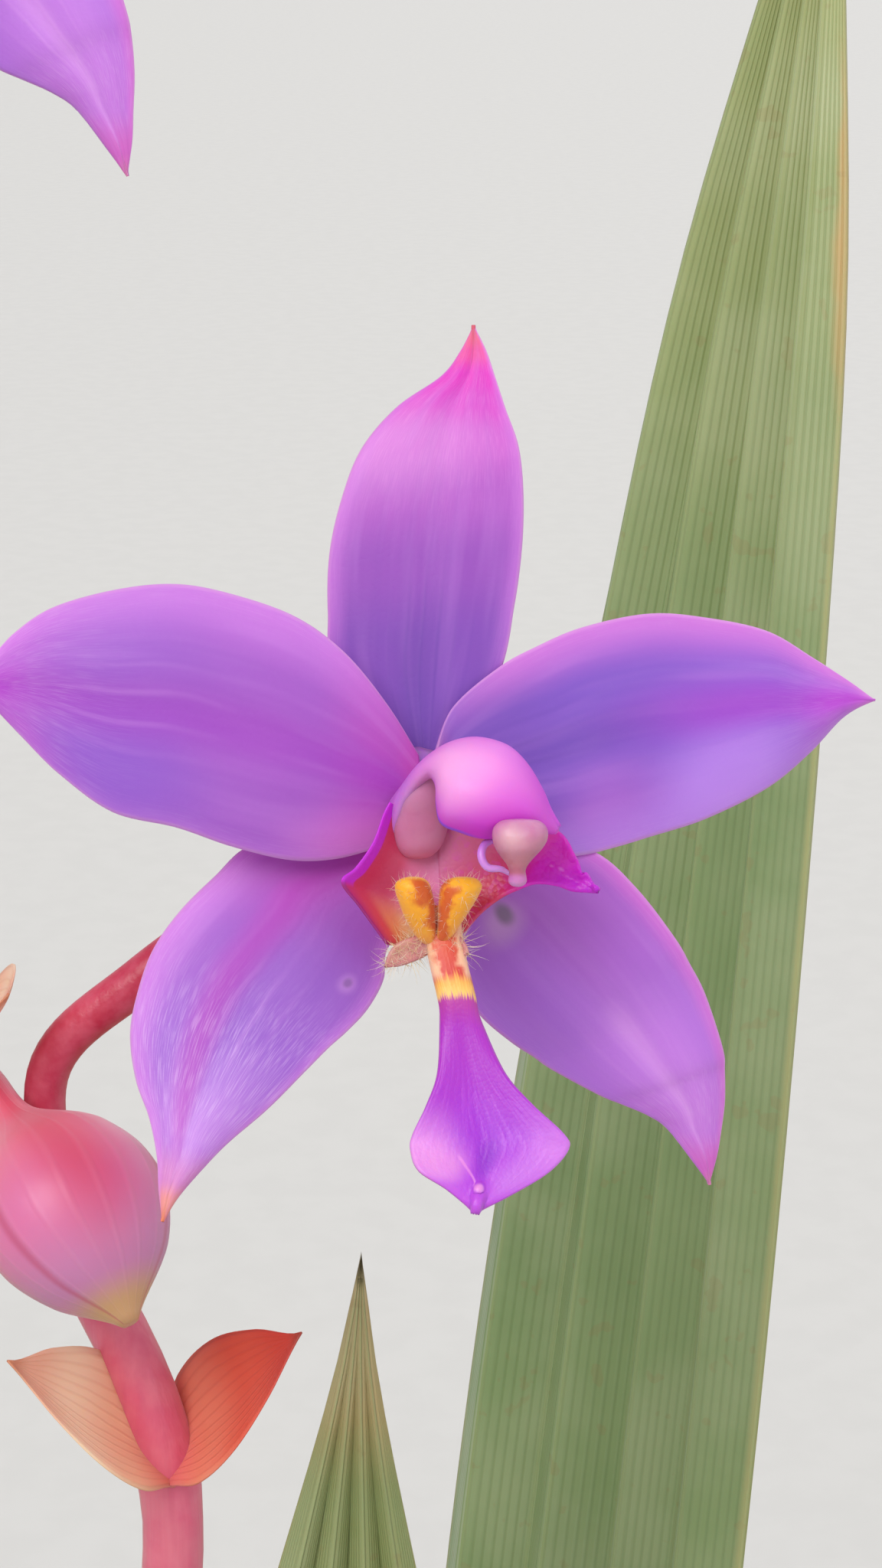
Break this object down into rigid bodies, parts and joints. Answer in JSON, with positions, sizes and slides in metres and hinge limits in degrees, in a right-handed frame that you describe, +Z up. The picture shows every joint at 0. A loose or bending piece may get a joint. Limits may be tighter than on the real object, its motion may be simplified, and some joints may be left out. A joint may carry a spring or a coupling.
{
  "type": "potted philippine ground orchid",
  "caption": "Potted ground orchid: pleated strap leaves, pink stalks with nodding buds, purple blooms with a magenta lip and yellow callus, plain clay pot.",
  "frame": {"origin": "centre of the pot's flat underside", "axes": "+Z up along the pot's axis; the bloom in the picture faces -Y and looks up by 18 degrees, so +X is to its viewer's right"},
  "size_m": [0.509, 0.4269, 0.5961],
  "materials": {
    "clay": "matte",
    "potting_mix": "matte",
    "bulb_skin": "matte",
    "leaf": "satin",
    "stalk": "satin",
    "tepal": "satin",
    "lip": "satin",
    "callus": "matte",
    "column": "satin",
    "anther_cap": "satin"
  },
  "bodies": {
    "root": {"pot": "clay", "potting_mix": "potting_mix", "pseudobulb_1": "bulb_skin", "pseudobulb_2": "bulb_skin", "pseudobulb_3": "bulb_skin", "pseudobulb_4": "bulb_skin", "pseudobulb_5": "bulb_skin", "leaf_1": "leaf", "leaf_2": "leaf", "leaf_3": "leaf", "leaf_4": "leaf", "leaf_5": "leaf", "leaf_6": "leaf", "leaf_7": "leaf", "leaf_8": "leaf", "leaf_9": "leaf", "leaf_10": "leaf", "flower_stalk_1": "stalk", "flower_stalk_2": "stalk", "bloom_1_tepals": "tepal", "bloom_1_lip": "lip", "bloom_1_callus": "callus", "bloom_1_column": "column", "bloom_1_anther_cap": "anther_cap", "bloom_2_tepals": "tepal", "bloom_2_lip": "lip", "bloom_2_callus": "callus", "bloom_2_column": "column", "bloom_2_anther_cap": "anther_cap", "bloom_3_tepals": "tepal", "bloom_3_lip": "lip", "bloom_3_callus": "callus", "bloom_3_column": "column", "bloom_3_anther_cap": "anther_cap", "bloom_4_tepals": "tepal", "bloom_4_lip": "lip", "bloom_4_callus": "callus", "bloom_4_column": "column", "bloom_4_anther_cap": "anther_cap", "bloom_5_tepals": "tepal", "bloom_5_lip": "lip", "bloom_5_callus": "callus", "bloom_5_column": "column", "bloom_5_anther_cap": "anther_cap", "bloom_6_tepals": "tepal", "bloom_6_lip": "lip", "bloom_6_callus": "callus", "bloom_6_column": "column", "bloom_6_anther_cap": "anther_cap"}
  },
  "joints": []
}
